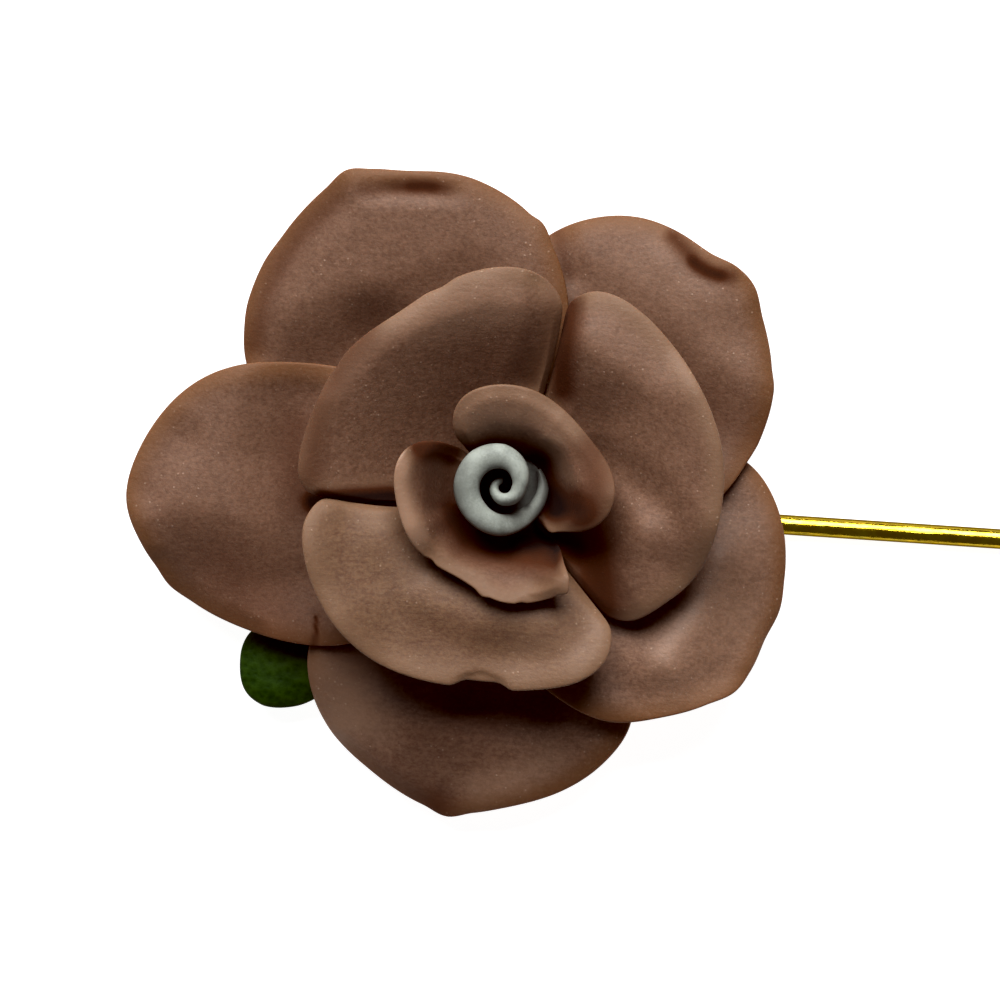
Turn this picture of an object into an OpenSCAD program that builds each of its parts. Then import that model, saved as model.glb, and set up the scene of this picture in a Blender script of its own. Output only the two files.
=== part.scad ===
// Flower lapel pin: a rose of soft clay on a straight metal stick pin.
// Five outer petals, three middle petals and two inner petals stand round a rolled bud,
// and the tip of a leaf shows under the outer petals. The flower is glued to the pin's pad.
// The origin is the middle of the pad's back face. +Z is the way that the flower faces,
// and +X runs along the pin to its point.

/* [Stick pin] */
// Diameter of the pin's wire
wire_d = 1.0; // [0.8:0.05:1.1]
// Length of the pin, from the middle of its pad to the tip of its point
pin_length = 64; // [50:1:76]
// Length of the tapered point
point_length = 4; // [2:0.5:8]
// Diameter of the round pad that carries the flower
pad_d = 8; // [6:0.5:9]
// Thickness of the pad, which the wire is soldered into
pad_t = 1.1; // [1.1:0.05:1.5]

/* [Clay] */
// Distance from the line of the pin to the middle of the flower
flower_offset = 0.8; // [0:0.1:1.2]
// Thickness of a petal's body
petal_t = 1.0; // [0.8:0.05:1.1]
// Thickness of a petal near its rim
petal_rim_t = 0.7; // [0.5:0.05:0.8]
// Gap between neighbouring pieces of clay
gap = 0.16; // [0.1:0.02:0.24]
// Width of the seam between petals that stand side by side
seam = 0.34; // [0.2:0.02:0.5]

/* [Outer petals] */
// Longest reach of an outer petal, from its own root
outer_reach = 15.8; // [14.5:0.1:17.5]
// Distance from the middle of the flower to each outer petal's root
outer_root = 3.0; // [2.9:0.1:3.5]
// Height that the outer petals gain from root to rim
outer_rise = 2.2; // [1.6:0.1:2.4]

/* [Middle petals] */
// Longest reach of a middle petal, from the middle of the flower
middle_reach = 11; // [10:0.25:12]
// Radius of the ring on which the middle petals stand
middle_root = 2.2; // [2.1:0.05:2.4]
// Height that the middle petals gain from root to rim
middle_rise = 5.2; // [4.6:0.1:5.8]

/* [Inner petals] */
// Longest reach of an inner petal, from the middle of the flower
inner_reach = 5.6; // [5.2:0.1:6.2]
// Radius of the ring on which the inner petals stand
inner_root = 2.1; // [2.05:0.05:2.3]
// Height that the inner petals gain from root to rim
inner_rise = 4.4; // [4:0.1:4.8]

/* [Bud] */
// Largest radius of the rolled bud, from the middle of its roll
bud_r = 2.65; // [2.4:0.05:2.75]
// Depth by which the middle of the roll lies below its outer turn
bud_sink = 0.5; // [0:0.1:1]

/* [Leaf] */
// Reach of the leaf's tip from the middle of the flower
leaf_reach = 16.3; // [14.5:0.1:17.5]
// Thickness of the leaf
leaf_t = 1.1; // [0.8:0.1:1.2]

/* [Hidden] */
round_fn = 48;

// How each outer petal lies: the direction of its line, and whether it climbs over (1) or
// dips under (-1) its neighbour on the counterclockwise side and on the clockwise side.
OUTER = [
    // heading, counterclockwise side, clockwise side
    [189,  1,  1],
    [116, -1,  1],
    [ 47, -1,  1],
    [-32, -1,  1],
    [-98, -1, -1]
];

// Rims of the outer petals, clockwise side first: the direction from the petal's own line,
// the reach as a share of outer_reach, and the lift of the rim as a share of petal_t.
OUTER_RIMS = [
    // direction, reach, lift
    [[-86, 0.26, 0], [-64, 0.44, 0], [-48, 0.61, 0], [-38, 0.755, -0.2], [-29, 0.863, -0.8],
     [-18, 0.945, -1.1], [-6, 1.0, -0.8], [2, 0.97, -0.8], [10, 0.922, -0.9], [18, 0.858, -0.8],
     [28, 0.759, -0.3], [41, 0.647, 0], [56, 0.52, 0], [78, 0.28, 0]],
    [[-84, 0.23, 0], [-58, 0.48, 0], [-40, 0.665, 0], [-28, 0.756, -0.3], [-17, 0.82, 0],
     [-6, 0.857, 0.1], [3, 0.918, -0.1], [11, 0.911, -0.5], [24, 0.882, -1.1], [39, 0.836, -1.1],
     [53, 0.76, -0.6], [68, 0.56, 0], [84, 0.26, 0]],
    [[-92, 0.25, 0], [-74, 0.45, 0], [-58, 0.568, 0], [-41, 0.658, -0.1], [-26, 0.739, -0.7],
     [-12, 0.79, -0.7], [-1, 0.829, 0], [6, 0.796, 0.1], [15, 0.794, 0], [25, 0.782, -0.5],
     [36, 0.735, -0.6], [50, 0.64, -0.3], [62, 0.45, 0], [75, 0.21, 0]],
    [[-80, 0.26, 0], [-65, 0.44, 0], [-48, 0.568, 0], [-37, 0.643, 0], [-25, 0.686, 0.2],
     [-14, 0.736, 0.3], [-3, 0.774, -0.2], [7, 0.756, -0.7], [19, 0.753, -0.8], [31, 0.735, -0.6],
     [43, 0.7, -0.3], [54, 0.64, 0], [67, 0.51, 0], [90, 0.31, 0]],
    [[-69, 0.22, 0], [-58, 0.5, 0], [-48, 0.66, -0.3], [-31, 0.756, -0.9], [-18, 0.786, -0.9],
     [-5, 0.826, -0.7], [4, 0.839, -0.5], [14, 0.811, 0.1], [29, 0.789, 0.3], [43, 0.739, 0.1],
     [53, 0.666, 0], [64, 0.47, 0], [78, 0.24, 0]]
];

// Seams between the middle petals, counterclockwise: the direction at the rims, and how far
// round each seam has turned where it reaches the root. The last is the first, once round.
MIDDLE_SEAMS = [
    // direction at the rim, turn at the root
    [ 75, -8],
    [185.5, 14],
    [312.5, 0],
    [435, -8]
];
// The seams that each middle petal stands between
MIDDLE_SIDES = [[0, 1], [2, 3], [1, 2]];

// Rims of the middle petals: the place across the petal from its first seam (0) to its
// second (1), the reach as a share of middle_reach, and the lift as a share of petal_t.
MIDDLE_RIMS = [
    // across, reach, lift
    [[0, 0.845, 0], [0.03, 0.915, 0], [0.09, 0.974, 0], [0.18, 0.988, 0.2], [0.3, 0.959, 0.3],
     [0.44, 0.912, 0.1], [0.6, 0.931, 0], [0.76, 0.914, 0], [0.9, 0.915, 0], [0.965, 0.9, 0],
     [1, 0.85, 0]],
    [[0, 0.71, 0], [0.04, 0.815, 0], [0.13, 0.875, 0], [0.24, 0.951, 0], [0.41, 0.975, 0.1],
     [0.52, 0.986, 0.2], [0.65, 0.983, 0.1], [0.79, 0.991, 0], [0.9, 0.995, -0.1],
     [0.965, 0.955, -0.3], [1, 0.87, -0.6]],
    [[0, 0.79, 0], [0.06, 0.897, 0.1], [0.18, 0.938, 0.1], [0.3, 0.958, 0], [0.43, 0.947, 0],
     [0.59, 0.896, 0.1], [0.76, 0.896, 0], [0.87, 0.912, -0.2], [0.95, 0.873, -0.3],
     [1, 0.77, -0.3]]
];

// Seams between the inner petals, in the same form
INNER_SEAMS = [
    // direction at the rim, turn at the root
    [137, 0],
    [320, 0],
    [497, 0]
];
// The seams that each inner petal stands between
INNER_SIDES = [[1, 2], [0, 1]];

// Rims of the inner petals, in the same form as the middle ones, with inner_reach
INNER_RIMS = [
    // across, reach, lift
    [[0, 0.55, -0.4], [0.04, 0.61, -0.3], [0.08, 0.74, -0.2], [0.12, 0.84, -0.1],
     [0.18, 0.928, 0], [0.25, 0.952, 0.1], [0.33, 0.918, 0], [0.435, 0.857, 0],
     [0.58, 0.87, 0], [0.68, 0.895, 0.1], [0.8, 0.898, 0.2], [0.9, 0.855, 0.1],
     [0.97, 0.72, 0], [1, 0.59, 0]],
    [[0, 0.49, 0], [0.02, 0.575, 0], [0.07, 0.768, 0], [0.13, 0.9, 0.2], [0.2, 0.934, 0.2],
     [0.28, 0.912, 0.1], [0.415, 0.907, 0], [0.51, 0.871, 0], [0.62, 0.845, 0.1],
     [0.73, 0.947, -0.3], [0.8, 0.98, -0.5], [0.87, 1.0, -0.5], [0.935, 1.0, -0.3],
     [0.97, 0.86, 0], [1, 0.72, 0]]
];

// Outline of the leaf: the direction from its own line and the reach as a share of leaf_reach.
leaf_heading = 222;
LEAF_RIM = [
    // direction, reach, lift
    [-9.8, 0.83, 0], [-8.2, 0.914, 0], [-4.9, 0.963, 0], [-1.5, 0.994, 0],
    [1.5, 0.997, 0], [4.5, 0.976, 0], [7, 0.938, 0], [9.2, 0.888, 0], [11, 0.8, 0]
];

// The roll of the bud, from its outer end inwards: how far it has turned clockwise,
// and its outer and inner faces as shares of bud_r.
bud_start = 31;
ROLL = [
    // turn, outer face, inner face
    [0, 0.73, 0.69], [27, 0.84, 0.56], [60, 0.83, 0.55], [87, 0.85, 0.55], [117, 0.94, 0.53],
    [150, 0.995, 0.53], [180, 1.0, 0.475], [220, 0.955, 0.41], [255, 0.88, 0.345],
    [290, 0.785, 0.29], [325, 0.64, 0.25], [357, 0.49, 0.195], [400, 0.435, 0.18],
    [450, 0.385, 0.18], [505, 0.33, 0.175], [545, 0.245, 0.14], [567, 0.215, 0.15]
];
// Middle of the roll, from the middle of the flower
bud_centre = [0, 0.18];

// Shares of the way from a petal's root to its rim at which its faces have a ring of points
RINGS = [0, 0.12, 0.28, 0.48, 0.68, 0.86, 1];
// Width over which the edge of an outer petal and of the other petals is rounded, as a share
// of the thickness there
outer_round = 0.8;
inner_round = 0.4;
// How early each ring of petals gains its height: 1 is an even slope, more is a cup
outer_bend = 2;
middle_bend = 1.25;
inner_bend = 1.4;
// How close to the rim a lift is felt: more keeps it nearer the rim
outer_curl = 4;
inner_curl = 2;

// The wire runs through the middle of the pad's edge, and the clay is seated on whichever is higher
wire_z = pad_t / 2;
seat = max(pad_t, wire_z + wire_d / 2) + gap;

// The outer petals climb round the flower, so that each lies one petal and one gap above or
// below its neighbour. Steep places are thicker from top to bottom, so a little is added.
steep = 1.12;
outer_pitch = min([for (i = [0:3]) OUTER[i][0] - OUTER[i + 1][0]]);
tread = (petal_t * steep + gap) / outer_pitch;
// Angle over which a petal that climbs or dips on both sides is rounded on its middle line
tread_round = 12;
// Furthest round from its own line that an outer petal still lies over the pad
over_pad = 36;

// Heights of the roots, ring by ring upwards. A ring's roots lie over gentle slopes of the
// ring below, the middle ring at once and the inner ring where the cup has begun to rise, so
// the steps are these shares of a petal's thickness.
middle_step = 0.75;
inner_step = 1.55;
outer_low = seat + petal_t / 2 + tread * over_pad;
middle_low = outer_low + petal_t * middle_step + gap;
inner_low = middle_low + petal_t * inner_step + gap;

// The bud has a narrow foot between the roots of the petals and fills their cup at its top.
// Its foot ends, and it is full and ends at the top, at these shares of the inner petals.
bud_foot_r = inner_root - petal_t / 2 - gap;
bud_foot_z = inner_low - petal_t * 0.4;
bud_full_z = inner_low + inner_rise * 0.66;
bud_top = inner_low + inner_rise * 0.84;

// The leaf starts beside the pad and lies under two outer petals
leaf_root = pad_d / 2 + flower_offset + gap;
leaf_low = leaf_t * 0.8;
leaf_rise = petal_t * 0.95;
leaf_bend = 2;
leaf_rim_t = leaf_t * 0.8;

// Width of the pin's tip as a share of the wire's
point_share = 0.12;

function mix(a, b, s) = a + (b - a) * s;
function clamp(x) = min(1, max(0, x));
function ease(x) = let (s = clamp(x)) s * s * (3 - 2 * s);
function rounded(x, s) = sqrt(x * x + s * s);

// Rows of a table with `cuts` steps between each two, on a smooth curve through all of them
function smooth_rows(rows, cuts) =
    let (n = len(rows))
    [
        for (i = [0:n - 2], k = [0:cuts - 1])
            let (
                a = rows[max(i - 1, 0)],
                b = rows[i],
                c = rows[i + 1],
                d = rows[min(i + 2, n - 1)],
                t = k / cuts
            )
            b + t / 2 * ((c - a) + t * ((2 * a - 5 * b + 4 * c - d) + t * (3 * b - a - 3 * c + d))),
        rows[n - 1]
    ];

// A curved sheet of clay with a rounded edge, spread like a fan from its root to its rim.
// rows: direction from the heading, reach as a share of the longest reach, lift as a share
// of the body's thickness.
// spread: distance from the flower's middle to the corner of the fan, radius of the root
// round that corner, and longest reach from it.
// profile: height of the root, height gained, how early it is gained, and how close to the
// rim a lift is felt.
// thick: thickness of the body and near the rim, and how far the edge is rounded.
// steps: climb round the flower, per degree, on the counterclockwise and clockwise sides.
// turns: how far the two side edges have turned where they reach the root.
module clay_sheet(rows, heading, spread, profile, thick, steps = [0, 0], turns = [0, 0],
                  side_gap = 0) {
    fan = spread[0];
    root = spread[1];
    reach = spread[2];
    spokes = smooth_rows(rows, 2);
    n = len(spokes);
    m = len(RINGS);
    first = spokes[0][0];
    last = spokes[n - 1][0];
    inset = thick[2] * thick[1];
    near = fan > 0 ? fan : root;

    // Point of the middle surface on spoke i, at share u of the way out, and pushed in from
    // the side edges by a distance that fades to nothing on the middle line
    function place(i, u, push) =
        let (
            s = (spokes[i][0] - first) / (last - first),
            a = heading + spokes[i][0] + mix(turns[0], turns[1], s) * (1 - u),
            side = (side_gap / 2 + push) * (1 - 2 * s),
            d = mix(root, spokes[i][1] * reach, u),
            x = fan * cos(heading) + d * cos(a) - side * sin(a),
            y = fan * sin(heading) + d * sin(a) + side * cos(a),
            q = clamp((norm([x, y]) - near) / (fan + reach - near)),
            round_flower = atan2(y * cos(heading) - x * sin(heading),
                                 x * cos(heading) + y * sin(heading)),
            climb = (steps[0] + steps[1]) / 2 * rounded(round_flower, tread_round)
                + (steps[0] - steps[1]) / 2 * round_flower,
            lift = spokes[i][2] * thick[0] * pow(u, profile[3])
        )
        [x, y + flower_offset, profile[0] + profile[1] * (1 - pow(1 - q, profile[2])) + climb + lift];

    // Share of the way out of ring j on spoke i. The rings stop short of the rounded edge.
    function way(i, j) =
        let (edge = min(0.4, inset / (spokes[i][1] * reach - root))) // room is left between
        mix(edge, 1 - edge, RINGS[j]);

    middle = [for (i = [0:n - 1]) [for (j = [0:m - 1]) place(i, way(i, j), inset)]];

    // Half of the thickness at a point, along the surface's normal there
    function half(i, j) =
        let (
            out = middle[i][min(j + 1, m - 1)] - middle[i][max(j - 1, 0)],
            across = middle[min(i + 1, n - 1)][j] - middle[max(i - 1, 0)][j],
            c = cross(out, across)
        )
        c / norm(c) * mix(thick[0], thick[1], pow(RINGS[j], 2)) / 2;

    top = [for (i = [0:n - 1], j = [0:m - 1]) middle[i][j] + half(i, j)];
    bottom = [for (i = [0:n - 1], j = [0:m - 1]) middle[i][j] - half(i, j)];

    // The edge runs out along the first spoke, round the rim, back along the last spoke, and
    // round the root
    border = [
        for (j = [0:m - 1]) [0, j],
        for (i = [1:n - 1]) [i, m - 1],
        for (j = [m - 2:-1:0]) [n - 1, j],
        for (i = [n - 2:-1:1]) [i, 0]
    ];
    edge = [
        for (b = border)
            let (u = b[1] == 0 ? 0 : b[1] == m - 1 ? 1 : way(b[0], b[1]))
            place(b[0], u, 0)
    ];
    count = len(border);
    under = n * m;
    rim = 2 * n * m;
    function at(b) = b[0] * m + b[1];

    polyhedron(
        points = concat(top, bottom, edge),
        faces = [
            for (i = [0:n - 2], j = [0:m - 2])
                let (a = i * m + j, b = a + m)
                each [
                    [a, b, b + 1],
                    [a, b + 1, a + 1],
                    [under + a, under + b + 1, under + b],
                    [under + a, under + a + 1, under + b + 1]
                ],
            for (e = [0:count - 1])
                let (f = (e + 1) % count, a = at(border[e]), b = at(border[f]))
                each [
                    [a, b, rim + f],
                    [a, rim + f, rim + e],
                    [rim + e, rim + f, under + b],
                    [rim + e, under + b, under + a]
                ]
        ],
        convexity = 6
    );
}

module outer_petal(i) {
    color("rosybrown")
        clay_sheet(
            OUTER_RIMS[i],
            OUTER[i][0],
            spread = [outer_root, petal_t, outer_reach],
            profile = [outer_low, outer_rise, outer_bend, outer_curl],
            thick = [petal_t, petal_rim_t, outer_round],
            steps = tread * [OUTER[i][1], OUTER[i][2]]
        );
}

// A petal of one of the two inner rings, which stands between two seams
module ring_petal(rows, first, last, spread, profile) {
    across = last[0] - first[0];
    color("rosybrown")
        clay_sheet(
            [for (row = rows) [(row[0] - 0.5) * across, row[1], row[2]]],
            first[0] + across / 2,
            spread,
            profile,
            thick = [petal_t, petal_rim_t, inner_round],
            turns = [first[1], last[1]],
            side_gap = seam
        );
}

module middle_petal(i) {
    ring_petal(
        MIDDLE_RIMS[i],
        MIDDLE_SEAMS[MIDDLE_SIDES[i][0]],
        MIDDLE_SEAMS[MIDDLE_SIDES[i][1]],
        spread = [0, middle_root, middle_reach],
        profile = [middle_low, middle_rise, middle_bend, inner_curl]
    );
}

module inner_petal(i) {
    ring_petal(
        INNER_RIMS[i],
        INNER_SEAMS[INNER_SIDES[i][0]],
        INNER_SEAMS[INNER_SIDES[i][1]],
        spread = [0, inner_root, inner_reach],
        profile = [inner_low, inner_rise, inner_bend, inner_curl]
    );
}

module leaf() {
    color("darkolivegreen")
        clay_sheet(
            LEAF_RIM,
            leaf_heading,
            spread = [0, leaf_root, leaf_reach],
            profile = [leaf_low, leaf_rise, leaf_bend, inner_curl],
            thick = [leaf_t, leaf_rim_t, outer_round]
        );
}

// The bud is a strip rolled up on itself, narrow at its foot and full at its top
module bud() {
    turns = smooth_rows(ROLL, 3);
    n = len(turns);
    foot = bud_foot_r / bud_r;
    // Heights of the strip's walls, as shares of the way from the foot to the fullest place
    walls = [0, 0.35, 0.65, 1];
    // Its rounded top: place across the strip from its outer face, and drop from the crown
    crown = [[0, 1], [0.22, 0.28], [0.5, 0], [0.78, 0.28], [1, 1]];

    // One wall of the strip from its foot upwards: distance from the roll's middle, and height
    function wall(face, shoulder) = [
        [face * foot, seat],
        for (w = walls)
            [face * mix(foot, 1, ease(w)), mix(bud_foot_z, min(bud_full_z, shoulder - gap), w)]
    ];
    function reverse(list) = [for (i = [len(list) - 1:-1:0]) list[i]];
    function section(row) =
        let (
            top = bud_top - bud_sink * ease(row[0] / ROLL[len(ROLL) - 1][0]),
            drop = min((row[1] - row[2]) / 2, 0.22) * bud_r
        )
        [
            each wall(row[1], top - drop),
            for (c = crown) [mix(row[1], row[2], c[0]), top - drop * c[1]],
            each reverse(wall(row[2], top - drop))
        ];
    points = [
        for (row = turns)
            let (a = bud_start - row[0])
            for (p = section(row))
                [bud_centre[0] + p[0] * bud_r * cos(a),
                 bud_centre[1] + flower_offset + p[0] * bud_r * sin(a), p[1]]
    ];
    m = len(section(ROLL[0]));
    last = (n - 1) * m;
    color("silver")
        polyhedron(
            points = points,
            faces = [
                for (i = [0:n - 2], j = [0:m - 1])
                    let (a = i * m + j, b = i * m + (j + 1) % m)
                    each [[a, b + m, b], [a, a + m, b + m]],
                for (j = [0:(m - 3) / 2])
                    let (k = m - 1 - j)
                    each [
                        [j, j + 1, k],
                        [last + j, last + k, last + j + 1],
                        if (j + 1 < k - 1) each [
                            [j + 1, k - 1, k],
                            [last + j + 1, last + k, last + k - 1]
                        ]
                    ]
            ],
            convexity = 10
        );
}

// The pad and the wire are soldered together and make one piece
module stick_pin() {
    color("goldenrod")
        union() {
            cylinder(h = pad_t, d = pad_d, $fn = round_fn);
            translate([0, 0, wire_z])
                rotate([0, 90, 0])
                    cylinder(h = pin_length - point_length, d = wire_d, $fn = round_fn);
            translate([pin_length - point_length, 0, wire_z])
                rotate([0, 90, 0])
                    cylinder(h = point_length, d1 = wire_d, d2 = wire_d * point_share, $fn = round_fn);
        }
}

stick_pin();
for (i = [0:4])
    outer_petal(i);
for (i = [0:2])
    middle_petal(i);
for (i = [0:1])
    inner_petal(i);
bud();
leaf();
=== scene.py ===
# %% [markdown]
# A rose of soft clay on a gilt stick pin, seen from straight above. Each petal of the real rose is
# a pinch of clay that was flattened between two fingers, cupped in the palm and pressed on to the
# ones before it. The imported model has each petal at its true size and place, but in flat facets.
# This lesson turns those plain solids into clay: it rounds them, presses in the dents that the
# fingers left, and mixes the finishes. Lengths are written in millimetres, and MM turns them into
# the metres that Blender works in here.

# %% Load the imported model
import math
from collections import namedtuple

import bpy
import numpy as np
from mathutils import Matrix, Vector
from mathutils.kdtree import KDTree


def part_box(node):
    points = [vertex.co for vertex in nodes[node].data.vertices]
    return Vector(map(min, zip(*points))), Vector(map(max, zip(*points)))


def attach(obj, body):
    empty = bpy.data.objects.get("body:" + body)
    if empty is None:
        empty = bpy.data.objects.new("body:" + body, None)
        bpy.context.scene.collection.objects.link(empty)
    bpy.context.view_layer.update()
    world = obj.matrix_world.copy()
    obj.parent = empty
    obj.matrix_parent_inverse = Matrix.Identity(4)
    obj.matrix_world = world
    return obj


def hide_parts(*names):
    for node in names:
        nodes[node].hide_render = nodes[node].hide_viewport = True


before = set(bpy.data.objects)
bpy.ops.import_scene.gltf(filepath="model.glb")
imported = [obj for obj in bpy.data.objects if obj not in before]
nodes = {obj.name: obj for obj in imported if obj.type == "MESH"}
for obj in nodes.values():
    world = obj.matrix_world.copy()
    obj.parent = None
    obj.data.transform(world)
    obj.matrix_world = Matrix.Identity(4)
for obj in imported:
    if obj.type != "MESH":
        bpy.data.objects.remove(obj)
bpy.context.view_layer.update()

# %% [markdown]
# The camera comes first, because every later choice is judged through it. It hangs straight above
# the flower, a little rolled, so the pin runs slightly downhill. The distance matters more than
# the lens: at 300 mm the petals that stand higher look only a few percent larger, as they do in
# the photograph.

# %% Camera
MM = 0.001
CAMERA_HEIGHT = 300 * MM
CAMERA_PLACE = (-0.1165 * MM, 0.291 * MM)
CAMERA_ROLL = math.radians(3.8)
SEEN_WIDTH = 50.556 * MM
NEAREST_SEEN = 10 * MM

camera = bpy.data.objects.new("camera", bpy.data.cameras.new("camera"))
bpy.context.scene.collection.objects.link(camera)
camera.location = (*CAMERA_PLACE, CAMERA_HEIGHT)
camera.rotation_euler = (0, 0, CAMERA_ROLL)
camera.data.lens = camera.data.sensor_width * CAMERA_HEIGHT / SEEN_WIDTH
camera.data.clip_start = NEAREST_SEEN
bpy.context.scene.camera = camera
print("camera lens", round(camera.data.lens, 1), "mm")

# %% [markdown]
# A material is a tree of nodes, and most of a tree is arithmetic. Written out node by node it is
# hard to read, so one small class wraps an output of a node: plus, minus and times on it add the
# Math nodes, and its method node adds any other kind. A finish then reads like a recipe.

# %% Shader arithmetic
# A Mix node has sockets for each type of data. These are the ones for colours.
MIX_FACTOR, MIX_FIRST, MIX_SECOND, MIX_RESULT = 0, 6, 7, 2


class Output:
    """An output of a shader node. Arithmetic on it adds Math nodes."""

    def __init__(self, tree, socket):
        self.tree = tree
        self.socket = socket

    def node(self, kind, settings=(), sockets=(), output=0):
        """Adds a node with its settings, joins or sets its sockets, and returns one output."""
        made = self.tree.nodes.new(kind)
        for name, value in dict(settings).items():
            setattr(made, name, value)
        for name, value in dict(sockets).items():
            if isinstance(value, Output):
                self.tree.links.new(value.socket, made.inputs[name])
            else:
                made.inputs[name].default_value = value
        return Output(self.tree, made.outputs[output])

    def math(self, operation, *values):
        return self.node("ShaderNodeMath", {"operation": operation}, enumerate((self, *values)))

    def math_after(self, operation, first):
        return self.node("ShaderNodeMath", {"operation": operation}, enumerate((first, self)))

    def __add__(self, other):
        return self.math("ADD", other)

    def __radd__(self, other):
        return self.math_after("ADD", other)

    def __sub__(self, other):
        return self.math("SUBTRACT", other)

    def __rsub__(self, other):
        return self.math_after("SUBTRACT", other)

    def __mul__(self, other):
        return self.math("MULTIPLY", other)

    def __rmul__(self, other):
        return self.math_after("MULTIPLY", other)

    def __gt__(self, other):
        return self.math("GREATER_THAN", other)

    def __lt__(self, other):
        return self.math("LESS_THAN", other)

    def between(self, low, high):
        """Grows softly from 0 at the low value to 1 at the high one."""
        return self.node("ShaderNodeMapRange", {"interpolation_type": "SMOOTHSTEP"},
                         {"Value": self, "From Min": low, "From Max": high})

    def colours(self, first, second):
        """Goes from the first colour to the second one as this value goes from 0 to 1."""
        return self.node("ShaderNodeMix", {"data_type": "RGBA"},
                         {MIX_FACTOR: self, MIX_FIRST: first, MIX_SECOND: second}, MIX_RESULT)


print("shader arithmetic ready")

# %% [markdown]
# Every finish here is mixed from the same few patterns: clouds for what was kneaded, cells for
# grains, and either of them stretched for what was drawn out. They are counted to the millimetre,
# so each material starts from its places in millimetres. What is the same all over a piece, such
# as its shine, is set on the shader itself.

# %% Patterns and materials
def noise(place, scale, detail=2, roughness=0.5):
    """Cloudy noise with so many clouds to the millimetre."""
    return place.node("ShaderNodeTexNoise", {}, {
        "Vector": place, "Scale": scale, "Detail": detail, "Roughness": roughness})


def cells(place, scale, output="Distance", feature="F1"):
    """Cells with so many to the millimetre: the distance from a cell's middle, or its colour."""
    return place.node("ShaderNodeTexVoronoi", {"feature": feature}, {
        "Vector": place, "Scale": scale}, output)


def stretched(place, scale, turn=0):
    """Places that are turned by an angle in degrees and scaled on each axis."""
    return place.node("ShaderNodeMapping", {}, {
        "Vector": place, "Rotation": (0, 0, math.radians(turn)), "Scale": scale})


def attribute(place, name):
    """An attribute that is stored at the points of the mesh."""
    return place.node("ShaderNodeAttribute", {"attribute_name": name}, output="Fac")


def bumps(height, distance):
    """Turns a height between 0 and 1 into dents of so many millimetres."""
    return height.node("ShaderNodeBump", {}, {
        "Height": height, "Strength": 1.0, "Distance": distance * MM})


def new_material(name):
    """Returns a material, its main shader, and its places in millimetres."""
    material = bpy.data.materials.new(name)
    material.use_nodes = True
    shader = material.node_tree.nodes["Principled BSDF"]
    start = Output(material.node_tree, None)
    metres = start.node("ShaderNodeTexCoord", output="Object")
    place = start.node("ShaderNodeVectorMath", {"operation": "SCALE"}, {0: metres, "Scale": 1 / MM})
    return material, shader, place


def join(value, shader, name):
    """Runs a value, a colour or a normal into a socket of the main shader."""
    value.tree.links.new(value.socket, shader.inputs[name])


def set_all_over(shader, finish):
    """Sets the sockets of the main shader that are the same all over a piece."""
    for name, value in finish.items():
        shader.inputs[name].default_value = value


print("patterns ready")

# %% [markdown]
# The petals are soft clay in a brown that leans to rose. Several things make it look like clay
# and not like paint. It is mottled, since the colour was kneaded in by hand, and it holds pale
# grains and flecks. Its surface has short strokes along the way that the fingers drew it out. It
# lets a little light through. Along the rims, light and shade are painted into the colour. On the
# outer petals a darker orange paints the glow of light through the thin clay and the shade of the
# rolled rim. On the others a paler colour paints the highlight on the crest. So the distance from
# the rim is kept as an attribute of the mesh. A second attribute, whose values are given along
# paths, paints shade and light over the whole clay. From 0 to 1 it paints shade, from 1 to 2 it
# goes on to the painted near black of a shadowed gap, and below 0 it paints light. A painted
# picture could do the same, but attributes stay sharp at any distance and need no file.

# %% Colours of the petals
CLAY_DARK = (0.120, 0.063, 0.038, 1)
CLAY_LIGHT = (0.197, 0.111, 0.072, 1)
# A lighter light colour, which also paints light into the two outer petals that lie in shade.
CLAY_PAINTED_LIGHTER = (0.216, 0.123, 0.080, 1)
CLAY_YELLOWED = (0.196, 0.116, 0.067, 1)
# Painted along the rims: on the outer petals the glow of light through the thin clay and the shade
# of the rolled rim, on the others the highlight on the crest.
CLAY_RIM_PAINTED_TRANSLUCENCE = (0.152, 0.067, 0.023, 1)
CLAY_RIM_PAINTED_HIGHLIGHT = (0.190, 0.112, 0.066, 1)
# Painted shade, the painted near black of shadowed gaps, and painted light.
CLAY_PAINTED_SHADE = (0.062, 0.018, 0.004, 1)
CLAY_PAINTED_GAP_SHADE = (0.010, 0.003, 0.001, 1)
CLAY_PAINTED_LIGHT = (0.300, 0.190, 0.130, 1)
CLAY_GRAIN = (0.42, 0.30, 0.22, 1)
PETAL_FINISH = {
    "Specular IOR Level": 0.34,
    "Subsurface Weight": 0.13,
    "Subsurface Radius": (1.0, 0.42, 0.2),
    "Subsurface Scale": 0.5 * MM,
}
PETAL_RELIEF = 0.036
GRAIN_SCALE = 2.6
GRAINS_LEFT_OUT = 0.4
DEEP_LINES = 2.0
print("petal colours ready")
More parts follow.
